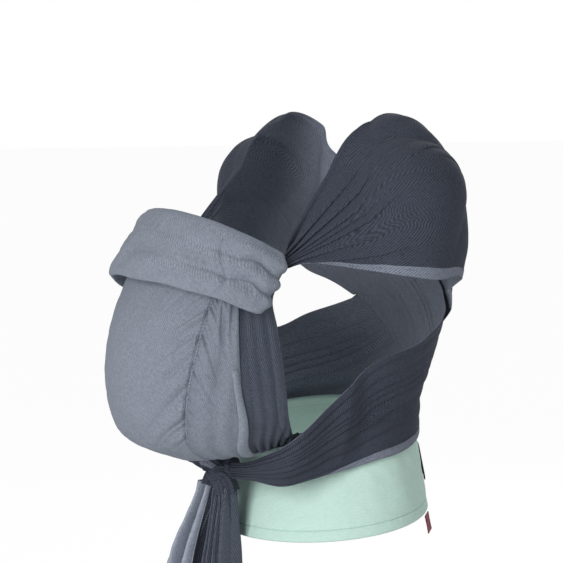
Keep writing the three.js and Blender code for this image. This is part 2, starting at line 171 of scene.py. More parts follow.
def lamp(name, azimuth, elevation, distance, size, watts):
    data = bpy.data.lights.new(name, "AREA")
    data.shape = "SQUARE"
    data.size = size
    data.energy = watts
    aimed(data, VIEW_CENTRE + distance * direction(azimuth, elevation), VIEW_CENTRE)


lamp("key_lamp", 24, 12, 2.6, 1.5, 40)
lamp("side_lamp", 100, 12, 2.8, 1.6, 8)
lamp("back_lamp", 215, 25, 2.8, 1.4, 20)

FLOOR_DROP = 0.012
FLOOR_REACH = 30.0
FLOOR_SHADOW = 0.1  # share of the lit floor in what is seen; the rest is an even white
FLOOR_WHITE = 1.05  # makes up for that share, so that the floor meets the backdrop unseen
floor_mesh = bpy.data.meshes.new("floor")
floor_z = cad_box[0][2] - FLOOR_DROP
corners = [(FLOOR_REACH * x, FLOOR_REACH * y, floor_z) for x, y in ((-1, -1), (1, -1), (1, 1), (-1, 1))]
floor_mesh.from_pydata(corners, [], [(0, 1, 2, 3)])
floor = bpy.data.objects.new("floor", floor_mesh)
bpy.context.scene.collection.objects.link(floor)
floor_paint = bpy.data.materials.new("pale_floor")
floor_paint.use_nodes = True
ground = Paint(floor_paint.node_tree)
matt = ground.node("ShaderNodeBsdfDiffuse", None, {"Color": (0.86, 0.86, 0.86, 1)})
glow = ground.node("ShaderNodeEmission", None, {"Color": (1, 1, 1, 1), "Strength": FLOOR_WHITE})
seen_white = light_path(ground) * (1 - FLOOR_SHADOW)
lit = ground.node("ShaderNodeMixShader", None, {0: seen_white, 1: matt, 2: glow})
ground.node("ShaderNodeOutputMaterial", None, {"Surface": lit})
floor_mesh.materials.append(floor_paint)

# ---- Waistband ---------------------------------------------------------------------------------------
# A padded belt of mint cotton canvas, 110 mm high, cut as a cone to sit on the hips. Cover and lining are
# sewn together round a foam core, with a row of stitches inside each edge. It is open behind.

MINT = (0.62, 0.85, 0.765)
MINT_THREAD = (0.40, 0.60, 0.52)
BAND_FOOT = (133, 103, -5)  # half width, half depth and middle's y inside the lower edge
BAND_TOP = (106, 78, 0)  # the same at the upper edge
BAND_HEIGHT = 110
BAND_REST = 3
BAND_TILT = 0.14
BAND_END_X = 64
BAND_INSIDE = 0.8  # off the body
BAND_PAD = 7.2
BAND_SEAM = 4.6  # thickness of its sewn edges
BAND_STITCHES = (12, 99)  # heights of the two rows
COVER_OFF = 7.4


def smooth(x, low, high):
    """Rises from 0 to 1 between low and high, level at both."""
    w = np.clip((x - low) / (high - low), 0, 1)
    return w * w * (3 - 2 * w)


def between(s, shares):
    """Rises between the first two shares and falls back between the last two."""
    return smooth(s, shares[0], shares[1]) * (1 - smooth(s, shares[2], shares[3]))


def bump(x, middle, width):
    """A bell of height 1 at the middle."""
    return np.exp(-(((x - middle) / width) ** 2))


def ripple(p, wavelength, seed):
    """Soft irregular swell over points in space: a sum of fourteen plane waves of about one wavelength."""
    draw = np.random.default_rng(seed)
    waves = draw.normal(size=(14, 3))
    waves /= np.linalg.norm(waves, axis=1, keepdims=True)
    waves *= (2 * math.pi / wavelength) * draw.uniform(0.6, 1.6, (14, 1))
    return np.sin(p @ waves.T + draw.uniform(0, 2 * math.pi, 14)).mean(-1) * 2.4


def normals_of(p):
    """Unit normals of a grid of points: the cross product of its slopes along its rows and its columns."""
    n = np.cross(np.gradient(p, axis=0), np.gradient(p, axis=1))
    return n / np.maximum(np.linalg.norm(n, axis=-1, keepdims=True), 1e-9)


def lengths(p, axis):
    """Distance run along one axis of a grid of points, in metres."""
    step = np.linalg.norm(np.diff(p, axis=axis), axis=-1)
    return 0.001 * np.insert(np.cumsum(step, axis=axis), 0, 0, axis=axis)


def grid_faces(rows, columns, first=0, wrap=False):
    """Corner numbers of the quads of a grid; wrap joins its last column to its first."""
    i, j = np.meshgrid(np.arange(rows - 1), np.arange(columns if wrap else columns - 1), indexing="ij")
    k = (j + 1) % columns
    quads = np.stack([i * columns + j, (i + 1) * columns + j, (i + 1) * columns + k, i * columns + k], -1)
    return quads.reshape(-1, 4) + first


def filled(name, places, quads, ends=()):
    """A smooth-shaded mesh object from places in millimetres, its quads, and larger faces for its ends."""
    mesh = bpy.data.meshes.new(name)
    corners = np.concatenate([quads.ravel(), *ends]).astype(np.int32)
    counts = np.array([4] * len(quads) + [len(end) for end in ends], np.int32)
    mesh.vertices.add(len(places))
    mesh.vertices.foreach_set("co", (places * 0.001).astype(np.float32).ravel())
    mesh.loops.add(len(corners))
    mesh.loops.foreach_set("vertex_index", corners)
    mesh.polygons.add(len(counts))
    mesh.polygons.foreach_set("loop_start", np.concatenate([[0], np.cumsum(counts)[:-1]]).astype(np.int32))
    mesh.polygons.foreach_set("use_smooth", np.ones(len(counts), bool))
    mesh.update(calc_edges=True)
    piece = bpy.data.objects.new(name, mesh)
    bpy.context.scene.collection.objects.link(piece)
    return piece


def marked(piece, u, v, **marks):
    """Gives a piece its UV map, in metres of cloth, and attributes, all from one value for each vertex."""
    mesh = piece.data
    corner = np.empty(len(mesh.loops), np.int32)
    mesh.loops.foreach_get("vertex_index", corner)
    layer = mesh.uv_layers.new(name="cloth")
    layer.data.foreach_set("uv", np.stack([u.ravel(), v.ravel()], -1)[corner].astype(np.float32).ravel())
    for name, values in marks.items():
        values = np.asarray(values, np.float32).ravel()
        mesh.attributes.new(name, "FLOAT", "POINT").data.foreach_set("value", values)
    return piece


def tube(name, p, **marks):
    """A closed piece from a grid whose columns run round it; its two ends are closed by a face each.

    Its rows' direction crossed with its columns' direction must point outwards.
    """
    rows, columns = p.shape[:2]
    ends = (np.arange(columns), np.arange(rows * columns - 1, (rows - 1) * columns - 1, -1))
    piece = filled(name, p.reshape(-1, 3), grid_faces(rows, columns, wrap=True), ends)
    return marked(piece, lengths(p, 1), lengths(p, 0), **marks)


def sheet(name, p, thickness, **marks):
    """A closed sheet of cloth: the grid moved half its thickness each way along its normals, with its rims.

    The side that the normals point to has the attribute reverse at 0, and the other side has it at 1.
    """
    n = normals_of(p) * (np.broadcast_to(thickness, p.shape[:2]) / 2)[..., None]
    rows, columns = p.shape[:2]
    count = rows * columns
    index = np.arange(count).reshape(rows, columns)
    border = np.concatenate([index[0], index[1:, -1], index[-1, -2::-1], index[-2:0:-1, 0]])
    after = np.roll(border, -1)
    rim = np.stack([border, after, after + count, border + count], -1)
    top = grid_faces(rows, columns)
    under = grid_faces(rows, columns, count)[:, ::-1]
    places = np.concatenate([(p + n).reshape(-1, 3), (p - n).reshape(-1, 3)])
    piece = filled(name, places, np.concatenate([top, under, rim]))
    both = {key: np.tile(np.asarray(value, float).ravel(), 2) for key, value in marks.items()}
    both.setdefault("reverse", np.repeat([0.0, 1.0], count))
    return marked(piece, np.tile(lengths(p, 1).ravel(), 2), np.tile(lengths(p, 0).ravel(), 2), **both)


YARN_PITCH = 0.62
RIB_PITCH = 2.1
STITCHES_PER_METRE = 320
STITCH_HALF_WIDTH = 0.42
STITCH_SHARE = 0.66  # of each step along the row; the rest is the gap to the next stitch


def woven(
    name, face, back, thread, pitch=YARN_PITCH, contrast=0.3, rib=0.5, rib_pitch=RIB_PITCH, turn=38, rough=0.9
):
    """Yarn-dyed cloth on a piece's UV map: noise stretched along warp and weft, and a wave across the rib.

    The attribute reverse, or turned below zero, shows the back's colour. The attribute stitch is 100 on a
    row of stitches, and run is the way along it in metres. Pitches are the yarn's and the rib's, and turn is
    the rib's slant in degrees.
    """
    made = bpy.data.materials.new(name)
    made.use_nodes = True
    paint = Paint(made.node_tree)
    uv = paint.node("ShaderNodeUVMap", {"uv_map": "cloth"})
    per_metre = 1000 / pitch
    turned = paint.node("ShaderNodeMapping", None, {0: uv, 2: (0, 0, math.radians(turn))})

    def yarns(across, along, way=uv):
        place = paint.node("ShaderNodeMapping", None, {0: way, 3: (across, along, 1)})
        sockets = {"Vector": place, "Scale": 1.0, "Detail": 2.0}
        return paint.node("ShaderNodeTexNoise", {"noise_dimensions": "2D"}, sockets)

    def mark(attribute):
        return paint.node("ShaderNodeAttribute", {"attribute_name": attribute}, None, 2)

    def below(value, limit):
        return paint.node("ShaderNodeMath", {"operation": "LESS_THAN"}, {0: value, 1: limit})

    def mixed(factor, first, second):
        return paint.node("ShaderNodeMix", {"data_type": "RGBA"}, {0: factor, 6: first, 7: second}, 2)

    warp = yarns(0.8 * per_metre, 0.16 * per_metre)
    weft = yarns(0.15 * per_metre, 0.85 * per_metre)
    cloud = yarns(60.0, 50.0)
    ribs = yarns(0.7 * per_metre, 0.12 * per_metre, turned)
    waves_per_metre = 314 / rib_pitch  # the Wave node's own unit
    wave_sockets = {"Vector": turned, "Scale": waves_per_metre, "Distortion": 0.5}
    wave = paint.node("ShaderNodeTexWave", None, wave_sockets, 1)
    side = mark("reverse").most(below(mark("turned"), -1e-6))
    edge = mark("stitch")
    dashes = paint.node("ShaderNodeMath", {"operation": "FRACT"}, {0: mark("run") * STITCHES_PER_METRE})
    apart = paint.node("ShaderNodeMath", {"operation": "ABSOLUTE"}, {0: edge - 100.0})
    stitch = below(apart, STITCH_HALF_WIDTH) * below(dashes, STITCH_SHARE)
    tone = (warp + weft) * 0.42 + ribs * 0.4 + wave * (0.42 * rib) + cloud * 0.08 - 0.32
    speckle = paint.node("ShaderNodeMapRange", None, {0: tone, 1: 0.18, 2: 0.66, 3: 0.0, 4: 1.0})

    def heather(colour):
        dark = [c * (1 - contrast) for c in colour] + [1]
        light = [min(1, c * (1 + contrast) + 0.02 * contrast) for c in colour] + [1]
        return mixed(speckle, dark, light)

    cloth = mixed(side, heather(face), heather(back))
    sewn = mixed(stitch, cloth, [*thread, 1])
    height = wave * (1.1 * rib) + ribs * 0.5 + (warp + weft) * 0.4 + stitch * 0.9
    fine = paint.node("ShaderNodeBump", None, {"Strength": 0.5, "Distance": 0.0005, "Height": height})
    surface = {
        "Base Color": sewn,
        "Roughness": rough,
        "Normal": fine,
        "Specular IOR Level": 0.15,
        "Sheen Weight": 0.04,
        "Sheen Roughness": 0.5,
    }
    fibre = paint.node("ShaderNodeBsdfPrincipled", None, surface)
    paint.node("ShaderNodeOutputMaterial", None, {"Surface": fibre})
    return made


def nearest_row(x, *rows):
    """Mark for the attribute stitch: 100 on the rows given, and further from 100 away from them."""
    return 100 + np.min([np.abs(x - row) for row in rows], axis=0)


def band_point(s, h, off):
    """The band at share s of its way round, from its right end past the front, at height h, off the body.

    Its section at each height is an ellipse, which shrinks evenly from the lower edge to the upper one.
    """
    start = math.asin(BAND_END_X / BAND_FOOT[0])
    angle = start + (2 * math.pi - 2 * start) * s
    width, depth, middle = (foot + (top - foot) * h / BAND_HEIGHT for foot, top in zip(BAND_FOOT, BAND_TOP))
    y = middle + (depth + off) * np.cos(angle)
    return np.stack([-(width + off) * np.sin(angle), y, BAND_REST + h + BAND_TILT * y], -1)


COARSE = 1


def steps(first, last, count):
    return np.linspace(first, last, max(2, count // COARSE))


def waistband():
    """The pad's outline, up its face and down its lining, carried round the body.

    Its thickness grows from the sewn edges to the foam. Its face has soft folds, and puckers at stitches.
    """
    up = np.concatenate([steps(0, 18, 30), steps(18, 92, 30)[1:], steps(92, BAND_HEIGHT, 30)[1:]])
    down = steps(BAND_HEIGHT, 0, 50)[1:-1]
    s, h = np.meshgrid(steps(0, 1, 560), np.concatenate([up, down]), indexing="ij")
    face = np.broadcast_to(np.arange(h.shape[1]) < len(up), h.shape)
    near_edge = np.minimum(h, BAND_HEIGHT - h)
    pad = BAND_SEAM + (BAND_PAD - BAND_SEAM) * smooth(near_edge, 11, 24)
    pad = pad * np.sqrt(np.clip(near_edge / 2.2, 0.02, 1))
    end = 0.5 + 0.5 * smooth(np.minimum(s, 1 - s) * 640, 0, 14)
    middle = BAND_INSIDE + BAND_PAD / 2 + 0.4
    p = band_point(s, h, middle)
    stitched = sum(bump(h, row, 0.9) for row in BAND_STITCHES)
    pucker = sum(np.exp(-np.abs(h - row) / 5) for row in BAND_STITCHES) * ripple(p * [1, 1, 0.25], 9, 3)
    soft = 0.85 * ripple(p * [1, 1, 0.6], 48, 4) + 0.5 * ripple(p * [1, 1, 2.2], 30, 5)
    relief = soft * smooth(near_edge, 4, 30) + 0.4 * pucker - 0.9 * stitched
    off = middle + np.where(face, pad / 2 * end + relief * end, -pad / 2 * end)
    p = band_point(s, h, off)
    run = np.broadcast_to(lengths(p[:, :1], 0), h.shape)
    stitch = nearest_row(h, *BAND_STITCHES)
    return tube("waistband", p[:, ::-1], stitch=stitch[:, ::-1], run=run[:, ::-1])


mint_cloth = woven("mint_canvas", MINT, MINT, MINT_THREAD, 0.9, 0.06, rib=0.2, rib_pitch=1.3, turn=0)
piece = waistband()
piece.data.materials.append(mint_cloth)
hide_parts("waistband_cover", "waistband_core", "waistband_lining")
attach(piece, "sling")

# ---- Panel -------------------------------------------------------------------------------------------
# A pouch of grey-blue cloth over a charcoal one. The outer cloth is a middle and two side pieces, joined
# by gathered seams. The charcoal one runs on past them as a wing down each side, with a sewn hem.

CHARCOAL = (0.046, 0.054, 0.077)
CHARCOAL_THREAD = (0.066, 0.076, 0.104)
WING_CHARCOAL = (0.062, 0.073, 0.100)
GREY_BLUE = (0.235, 0.262, 0.315)
SIDE_GREY = (0.215, 0.24, 0.29)
# The flap is a fold of the side piece's own cloth; its grey, lighter than SIDE_GREY, is a painted highlight
# on the fold.
FLAP_LIT_GREY = (0.25, 0.28, 0.335)
CENTRE_THREAD = (0.17, 0.19, 0.235)
SIDE_THREAD = (0.13, 0.145, 0.185)
OUTER_CLOTH = 1.0
INNER_CLOTH = 1.1
OUTER_OFF = 3.2  # off the inner cloth
SEAM_OFF = 1.3  # the same where a seam holds it down
SEAM_PULL = 2.5  # how far from a seam the cloth starts to dip
OUTER_SHARE = (0.06, 0.965)  # of the way down, where the outer cloth starts and ends
POUCH_LENGTH = 330
DEGREE_WIDTH = 2.3  # along the cloth, at the pouch's widest
GATHER_PITCH = 12


def rail(points, s):
    """Catmull-Rom curve through the points, which are evenly shared out over s from 0 to 1."""
    p = np.asarray(points, float)
    p = np.vstack([2 * p[0] - p[1], p, 2 * p[-1] - p[-2]])
    x = np.clip(s, 0, 1) * (len(points) - 1)
    i = np.minimum(x.astype(int), len(points) - 2)
    w = (x - i)[..., None]
    a, b, c, d = p[i], p[i + 1], p[i + 2], p[i + 3]
    return b + 0.5 * w * (c - a + w * (2 * a - 5 * b + 4 * c - d + w * (3 * (b - c) + d - a)))


def on_band(share):
    return band_point(share, BAND_HEIGHT, COVER_OFF) + np.array([0, 0, 1.4])


PANEL_EDGE = [
    [106.5, -124, 291], [107, -130, 275], [108, -137, 256], [112, -133, 226], [114, -126, 180],
    [114, -122, 140], [107, -114, 120], [99, -106, 111], [90, -98, 105], on_band(0.645),
]
PANEL_MIDDLE = [
    [0, -205, 336], [0, -218, 306], [0, -236, 268], [0, -255, 222], [0, -263, 172],
    [0, -253, 126], [0, -229, 97], [0, -190, 84], [0, -150, 88], on_band(0.5),
]


def arch(edge, middle, angle):
    """A half ellipse from a left edge over the middle, at an angle in degrees from the middle."""
    across, out = np.sin(np.radians(angle))[..., None], np.cos(np.radians(angle))[..., None]
    low = edge * [0, 1, 1] + (middle - edge) * [0, 1, 1] * out
    return low + edge * [1, 0, 0] * across


def pouch(share, angle, off=0):
    """The pouch at a share of the way down and an angle round it, moved outwards by off millimetres."""
    p = arch(rail(PANEL_EDGE, share), rail(PANEL_MIDDLE, share), angle)
    return p + normals_of(p) * np.broadcast_to(off, share.shape)[..., None]


def seam_angle(share):
    """Degrees from the pouch's middle to the seam, which leans in towards it lower down."""
    return 55 - 27 * smooth(share, 0.1, 0.95)


def edge_angle(share):
    """Degrees from the pouch's middle to the outer cloth's edge."""
    return 69 - 20 * smooth(share, 0.52, 0.95)


def seam_gathers(share, away, side):
    """Puckers that the gathered seam sends out: ridges that slope down from it and fade away from it."""
    way = share * POUCH_LENGTH
    held = between(share, (0.08, 0.16, 0.5, 0.72))
    wander = 1.4 * np.sin(way / 23 + side) + 0.8 * np.sin(way / 11 + 2 * side)
    turn = 2 * math.pi * (way - 0.55 * away - 0.004 * away**2) / GATHER_PITCH + wander
    ridge = np.sin(turn + 0.8 * np.sin(turn)) + 0.3 * np.sin(1.53 * turn + 1)
    long_ridge = np.sin(0.43 * turn + 1)
    return held * (2.3 * np.exp(-away / 21) * ridge + 1.9 * bump(away, 10, 30) * long_ridge)


def sunk_seam(off, away):
    """Draws the cloth in to the inner one at the seam, steeper the nearer to it."""
    return SEAM_OFF + (off - SEAM_OFF) * np.clip(away / SEAM_PULL, 0, 1) ** 0.45


def panel_centre():
    """Middle piece: gathers at both seams, creases from being folded away, and folds above the knot."""
    half = np.concatenate([steps(0, 0.92, 76), steps(0.92, 1, 14)[1:]])
    columns = np.concatenate([-half[:0:-1], half])
    share, across = np.meshgrid(steps(*OUTER_SHARE, 250), columns, indexing="ij")
    angle = across * seam_angle(share)
    flat = pouch(share, angle)
    away = (1 - np.abs(across)) * seam_angle(share) * DEGREE_WIDTH
    way = share * POUCH_LENGTH
    creases = sum(bump(way, row, 1.3) for row in (118, 163, 208))
    creases = creases + sum(bump(angle, column, 0.6) for column in (-19, 1, 22))
    foot = smooth(share, 0.74, 0.95)
    folds = foot * np.sin(angle / 3.1 + 1.2 * np.sin(angle / 9)) * 1.6
    broad = 1.5 * ripple(flat * [1, 1, 0.55], 60, 7) + 0.35 * ripple(flat, 17, 8)
    relief = broad + seam_gathers(share, away, np.sign(angle)) - 0.3 * creases + folds
    off = sunk_seam(np.maximum(OUTER_OFF + relief, 1.8), away)
    p = pouch(share, angle, off)
    return sheet("panel_centre_cloth", p, OUTER_CLOTH, stitch=nearest_row(away, 2.4), run=way * 0.001)


def panel_side(name, sign):
    """Side piece: two darts at its top, long soft folds, and gathers at its seam."""
    columns = np.concatenate([steps(0, 0.14, 12)[:-1], steps(0.14, 1, 58)])
    share, across = np.meshgrid(steps(*OUTER_SHARE, 250), columns, indexing="ij")
    turn = across * (edge_angle(share) - seam_angle(share))
    angle = seam_angle(share) + turn
    away = turn * DEGREE_WIDTH
    flat = pouch(share, angle)
    darts = sum(bump(angle - 4 * (share - 0.2), dart, 0.9) for dart in (58.5, 63.5))
    darts = darts * between(share, (0.1, 0.16, 0.3, 0.42))
    long_folds = np.sin(turn * 0.62 + 5 * share + 1.1 * np.sin(7 * share))
    off = OUTER_OFF + 1.9 * darts + 0.9 * long_folds * between(share, (0.15, 0.4, 0.8, 0.97))
    off = off + 0.6 * seam_gathers(share, away * 1.6, -1) + 0.6 * ripple(flat, 38, 9)
    off = sunk_seam(np.maximum(off, 1.8), away) - 1.0 * smooth(across, 0.93, 1)
    p = pouch(share, angle, off)
    stitch = nearest_row(away, 2.6)
    way = share * POUCH_LENGTH * 0.001
    if sign < 0:
        p, stitch = p[:, ::-1] * [-1, 1, 1], stitch[:, ::-1]
    return sheet(name, p, OUTER_CLOTH, stitch=stitch, run=way)


def panel_flap(name, sign):
    """A fold of the side piece's edge that laps onto the wing; it widens downwards."""
    share, across = np.meshgrid(steps(0.42, 0.95, 140), steps(0, 1, 24), indexing="ij")
    width = 2.9 + 4.6 * smooth(share, 0.42, 0.85)
    angle = edge_angle(share) - 3.6 + width * across + 0.5 * np.sin(14 * share)
    round_over = 2.2 * np.sqrt(np.clip(1 - (2 * across - 1) ** 4, 0, 1))
    wavy = 0.3 * np.sin(30 * share + 3 * across)
    off = OUTER_OFF + 0.2 - 1.2 * smooth(across, 0.4, 1) + round_over + wavy
    p = pouch(share, angle, off)
    if sign < 0:
        p = p[:, ::-1] * [-1, 1, 1]
    return sheet(name, p, OUTER_CLOTH)


def panel_inner():
    """The charcoal cloth behind the rest; its wings have hems and, low down, folds gathered to the band."""
    half = np.concatenate([steps(0, 62, 36), steps(62, 90, 84)[1:]])
    columns = np.concatenate([-half[:0:-1], half])
    share, angle = np.meshgrid(steps(0, 1, 210), columns, indexing="ij")
    turn = np.abs(angle)
    past_edge = turn - edge_angle(share)
    wing = smooth(past_edge, -1, 4)
    folds = np.sin(past_edge * 1.05 + 1.5 * np.sin(6 * share)) * (0.5 + 2.2 * smooth(share, 0.55, 0.9))
    flat = pouch(share, angle)
    off = wing * (folds * (1 - smooth(turn, 87, 90)) + 0.9 * ripple(flat * [1, 1, 0.5], 34, 11))
    off = off + 0.9 * smooth(turn, 85.2, 85.8)
    stitch = nearest_row(turn, 84.2, edge_angle(share) + 4)
    run = share * POUCH_LENGTH * 0.001
    return sheet("panel_inner_cloth", pouch(share, angle, off), INNER_CLOTH, stitch=stitch, run=run)


grey_cloth = woven("panel_heather", GREY_BLUE, GREY_BLUE, CENTRE_THREAD, contrast=0.32)
side_cloth = woven("panel_side_heather", SIDE_GREY, SIDE_GREY, SIDE_THREAD, contrast=0.34)
# Painted highlight: the flap gets a lighter copy of the side piece's cloth.
flap_lit_cloth = woven("panel_flap_lit_heather", FLAP_LIT_GREY, FLAP_LIT_GREY, FLAP_LIT_GREY, contrast=0.3)
dark_cloth = woven("charcoal_twill", WING_CHARCOAL, CHARCOAL, CHARCOAL_THREAD, contrast=0.5, rib=0.8)

for piece, cloth, slot, node, flat in (
    (panel_inner(), dark_cloth, "dark_cloth", "panel_inner", (0.46, 0.33)),
    (panel_centre(), grey_cloth, "grey_cloth", "panel_centre", (0.25, 0.30)),
    (panel_side("panel_side_left_cloth", 1), side_cloth, "grey_cloth", "panel_side_left", (0.05, 0.28)),
    (panel_side("panel_side_right_cloth", -1), side_cloth, "grey_cloth", "panel_side_right", (0.05, 0.28)),
    (panel_flap("panel_flap_left", 1), flap_lit_cloth, "grey_cloth", None, (0.014, 0.16)),
    (panel_flap("panel_flap_right", -1), flap_lit_cloth, "grey_cloth", None, (0.014, 0.16)),
):
    piece.data.materials.append(cloth)
    if node:
        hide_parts(node)
    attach(piece, "sling")

# ---- Collar ------------------------------------------------------------------------------------------
# The top of the panel, turned down outwards over itself to the height that the child needs: a thick soft
# roll of two layers. At each end it is squeezed into three folds, and it can be pulled up off the pouch.

COLLAR_GREY = (0.245, 0.275, 0.33)
COLLAR_RIM = (np.array([112, -121, 301]), np.array([0, -203, 348]))
COLLAR_FOOT = (np.array([124, -152, 243]), np.array([0, -251, 283]))
COLLAR_INSIDE = 4.4  # half its thickness towards the child
COLLAR_OUTSIDE = 6.2  # and outwards
COLLAR_CREASES = (0.36, 0.66)  # shares of its height at which it folds


def collar():
    """A rounded oblong carried round the arch from the rim down to the foot, with creases along it.

    The creases deepen towards each end, whose three folds stop at different places.
    """
    turn, angle = np.meshgrid(steps(0, 2 * math.pi, 150)[:-1], steps(-90, 90, 420))
    rim, foot = arch(*COLLAR_RIM, angle), arch(*COLLAR_FOOT, angle)
    height = np.linalg.norm(foot - rim, axis=-1)
    down = (foot - rim) / height[..., None]
    along = np.gradient(rim, axis=0)
    along /= np.linalg.norm(along, axis=-1, keepdims=True)
    out = np.cross(down, along)
    out /= np.linalg.norm(out, axis=-1, keepdims=True)
    near_end = smooth(np.abs(angle), 28, 86)
    level = 0.5 - 0.5 * np.sign(np.cos(turn)) * np.abs(np.cos(turn)) ** 0.8
    depth = np.sign(np.sin(turn)) * np.abs(np.sin(turn)) ** 0.62
    wave = 0.035 * np.sin(angle / 9) + 0.02 * np.sin(angle / 3.7 + 1)
    creased = sum(bump(level + wave * (0.4 + near_end), crease, 0.03) for crease in COLLAR_CREASES)
    lobes = 1.1 * near_end * np.cos(2 * math.pi * (level - 0.18) * 3.1)
    gather = bump(angle + 5 * np.sin(6 * level), 55, 1.6) + bump(angle - 4 * np.sin(5 * level), -52, 1.6)
    drape = 1.6 * ripple(rim + down * (level * height)[..., None] * 1.4, 44, 13)
    crinkle = 0.55 * ripple(rim + down * (level * height)[..., None], 15, 14)
    bulge = 1.0 + 2.4 * bump(level, 0.14, 0.2) - 1.5 * smooth(level, 0.82, 1)
    dents = creased * (0.7 + 3.9 * near_end) + 2.2 * gather
    thick = COLLAR_OUTSIDE + bulge + drape + crinkle + lobes - dents
    end = np.sqrt(np.clip(1 - (np.clip(np.abs(angle) - 85, 0, 5) / 5.05) ** 2, 0.05, 1))
    offset = np.where(depth > 0, depth * thick, depth * COLLAR_INSIDE) * end
    uneven_end = 2.6 * np.cos(2 * math.pi * (level - 0.18) * 3.1) - 5 * level**2
    stagger = near_end**4 * uneven_end * np.sign(angle)
    hem_wave = 2.2 * np.sin(angle / 14 + 0.8) + 1.2 * np.sin(angle / 5.5)
    place = (level - 0.5) * (height + 5 + hem_wave * smooth(level, 0.5, 1)) + 0.5 * height
    place = 0.5 * height + (place - 0.5 * height) * (0.86 + 0.14 * end)
    p = rim + down * place[..., None] + out * offset[..., None] + along * stagger[..., None]
    return tube("collar_padding", p)


collar_cloth = woven("collar_heather", COLLAR_GREY, COLLAR_GREY, COLLAR_GREY, contrast=0.34)
piece = collar()
piece.data.materials.append(collar_cloth)
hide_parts("collar_cuff", "collar_roll")
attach(piece, "collar")


def collar_neck():
    """The cloth between the pouch's rim and the collar's, seen when the collar is pulled up."""
    share, angle = np.meshgrid(steps(0, 1, 40), steps(-88, 88, 160), indexing="ij")
    rim = np.array(0.03)  # share of the way down the panel
    low = arch(rail(PANEL_EDGE, rim), rail(PANEL_MIDDLE, rim), angle)
    high = arch(*COLLAR_RIM, angle) + [0, 0, -1.5]
    return sheet("collar_neck", high + (low - high) * share[..., None], 1.0)


piece = collar_neck()
piece.data.materials.append(collar_cloth)
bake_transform(piece)

# ---- Wrap straps -------------------------------------------------------------------------------------
# Each strap is one length of double-faced twill, charcoal outside and grey-blue inside, gathered into the
# panel's top corner. It fans out over the shoulder, crosses the other on the back, comes round the waist
# over the band and is gathered again into the knot. Its lower edge is hemmed with the grey side out.

# The body that the cloth lies on: height, half width, half depth, middle's y.
TORSO = np.array([
    [-40, 143, 112, -6], [0, 132, 102, -5], [50, 118, 88, -3], [97, 105, 77, 0], [150, 116, 90, 4],
    [190, 126, 101, 8], [235, 135, 109, 12], [300, 142, 112, 10], [350, 138, 104, 8], [400, 108, 80, 6],
    [440, 72, 60, 0], [470, 52, 52, -12], [520, 47, 48, -28],
], float)
TORSO_SQUARENESS = 2.2
SHOULDER = (np.array([55, 0, 406]), np.array([144, 14, 368]), 45)
UPPER_ARM = (np.array([144, 14, 364]), np.array([136, 7, 262]), 55)
BODY_BLEND = 8
BAND_BULK = 9.2  # what the straps pass over
NECK_EDGE = [
    [103.5, -120, 303], [97, -95, 342], [89, -46, 400], [90, -8, 438], [98, 19, 453], [100, 56, 440],
    [72, 94, 395], [20, 120, 335], [-40, 120, 274], [-90, 98, 236], [-125, 40, 212], [-130, -14, 188],
    [-121, -62, 150], [-118, -114, 110], [-68, -134, 82], [-27.4, -138, 73],
]
MIDDLE_LINE = [
    [105.5, -121.3, 296], [112, -102, 322], [131, -60, 356], [152, -12, 404], [168, 36, 405],
    [160, 72, 368], [112, 104, 328], [44, 124, 274], [-22, 120, 220], [-76, 92, 176], [-116, 35, 150],
    [-128, -18, 133], [-119, -70, 108], [-113, -118, 84], [-66, -137, 71], [-27.4, -138, 65],
]
HEM_EDGE = [
    [106.5, -122.4, 289.5], [128, -103, 297], [158, -60, 291], [186, -20, 284], [194, 16, 279],
    [180, 54, 280], [136, 98, 254], [70, 122, 216], [0, 115, 165], [-58, 85, 115], [-104, 28, 86],
    [-120, -20, 77], [-114, -75, 67], [-101, -118, 58], [-62, -136, 60], [-27.4, -138, 57],
]
STRAP_CLEARANCE = 3.2
CROSSING_LIFT = 5.4
CROSSING = (0.33, 0.42, 0.63, 0.74)  # shares of the route: the lift starts, is full, ends and is gone
TAUT = (0.34, 0.42, 0.7, 0.78)  # likewise where the cloth lies flat on the back
PLEATS = 9
# The folds of the fan start at a point behind the panel's corner, between the hem's way and the neck's.
FAN_ROOT = np.array([101.5, -129, 288])
FAN_ALONG = np.array([0.61, 0.79, -0.03])
FAN_UP = np.array([-0.36, 0.32, 0.88])
FAN_ANGLE = math.radians(66)
STRAP_REVERSE = (0.172, 0.192, 0.242)
STRAP_FACE = (0.039, 0.046, 0.066)
STRAP_THREAD = (0.16, 0.18, 0.22)
STRAP_CLOTH = 0.9


def rod_distance(p, rod):
    """Distance to a straight rod with round ends."""
    start, end, radius = rod
    line = end - start
    share = np.clip((p - start) @ line / (line @ line), 0, 1)
    return np.linalg.norm(p - start - share[..., None] * line, axis=-1) - radius


def outside(p):
    """How far points are outside the body and the band: a softened least of the distances to each part."""
    x, y, z = p[..., 0], p[..., 1], p[..., 2]
    width, depth, middle = (np.interp(z, TORSO[:, 0], TORSO[:, k]) for k in (1, 2, 3))
    n = TORSO_SQUARENESS
    level = (np.abs(x / width) ** n + np.abs((y - middle) / depth) ** n) ** (1 / n)
    torso = np.hypot(x, y - middle) * (1 - 1 / np.maximum(level, 1e-3))
    h = z - BAND_REST - BAND_TILT * y
    rise = np.clip(h / BAND_HEIGHT, 0, 1)
    width, depth, middle = (foot + (top - foot) * rise for foot, top in zip(BAND_FOOT, BAND_TOP))
    level = np.hypot(x / (width + BAND_BULK), (y - middle) / (depth + BAND_BULK))
    beside = np.hypot(x, y - middle) * (1 - 1 / np.maximum(level, 1e-3))
    above = np.maximum(np.maximum(h - BAND_HEIGHT, -h), 0)
    band = np.where(above > 0, np.hypot(np.maximum(beside, 0), above), beside)
    sided = np.stack([np.abs(x), y, z], -1)
    parts = np.stack([torso, rod_distance(sided, SHOULDER), rod_distance(sided, UPPER_ARM), band])
    least = parts.min(0)
    return least - BODY_BLEND * np.log(np.exp((least - parts) / BODY_BLEND).sum(0))


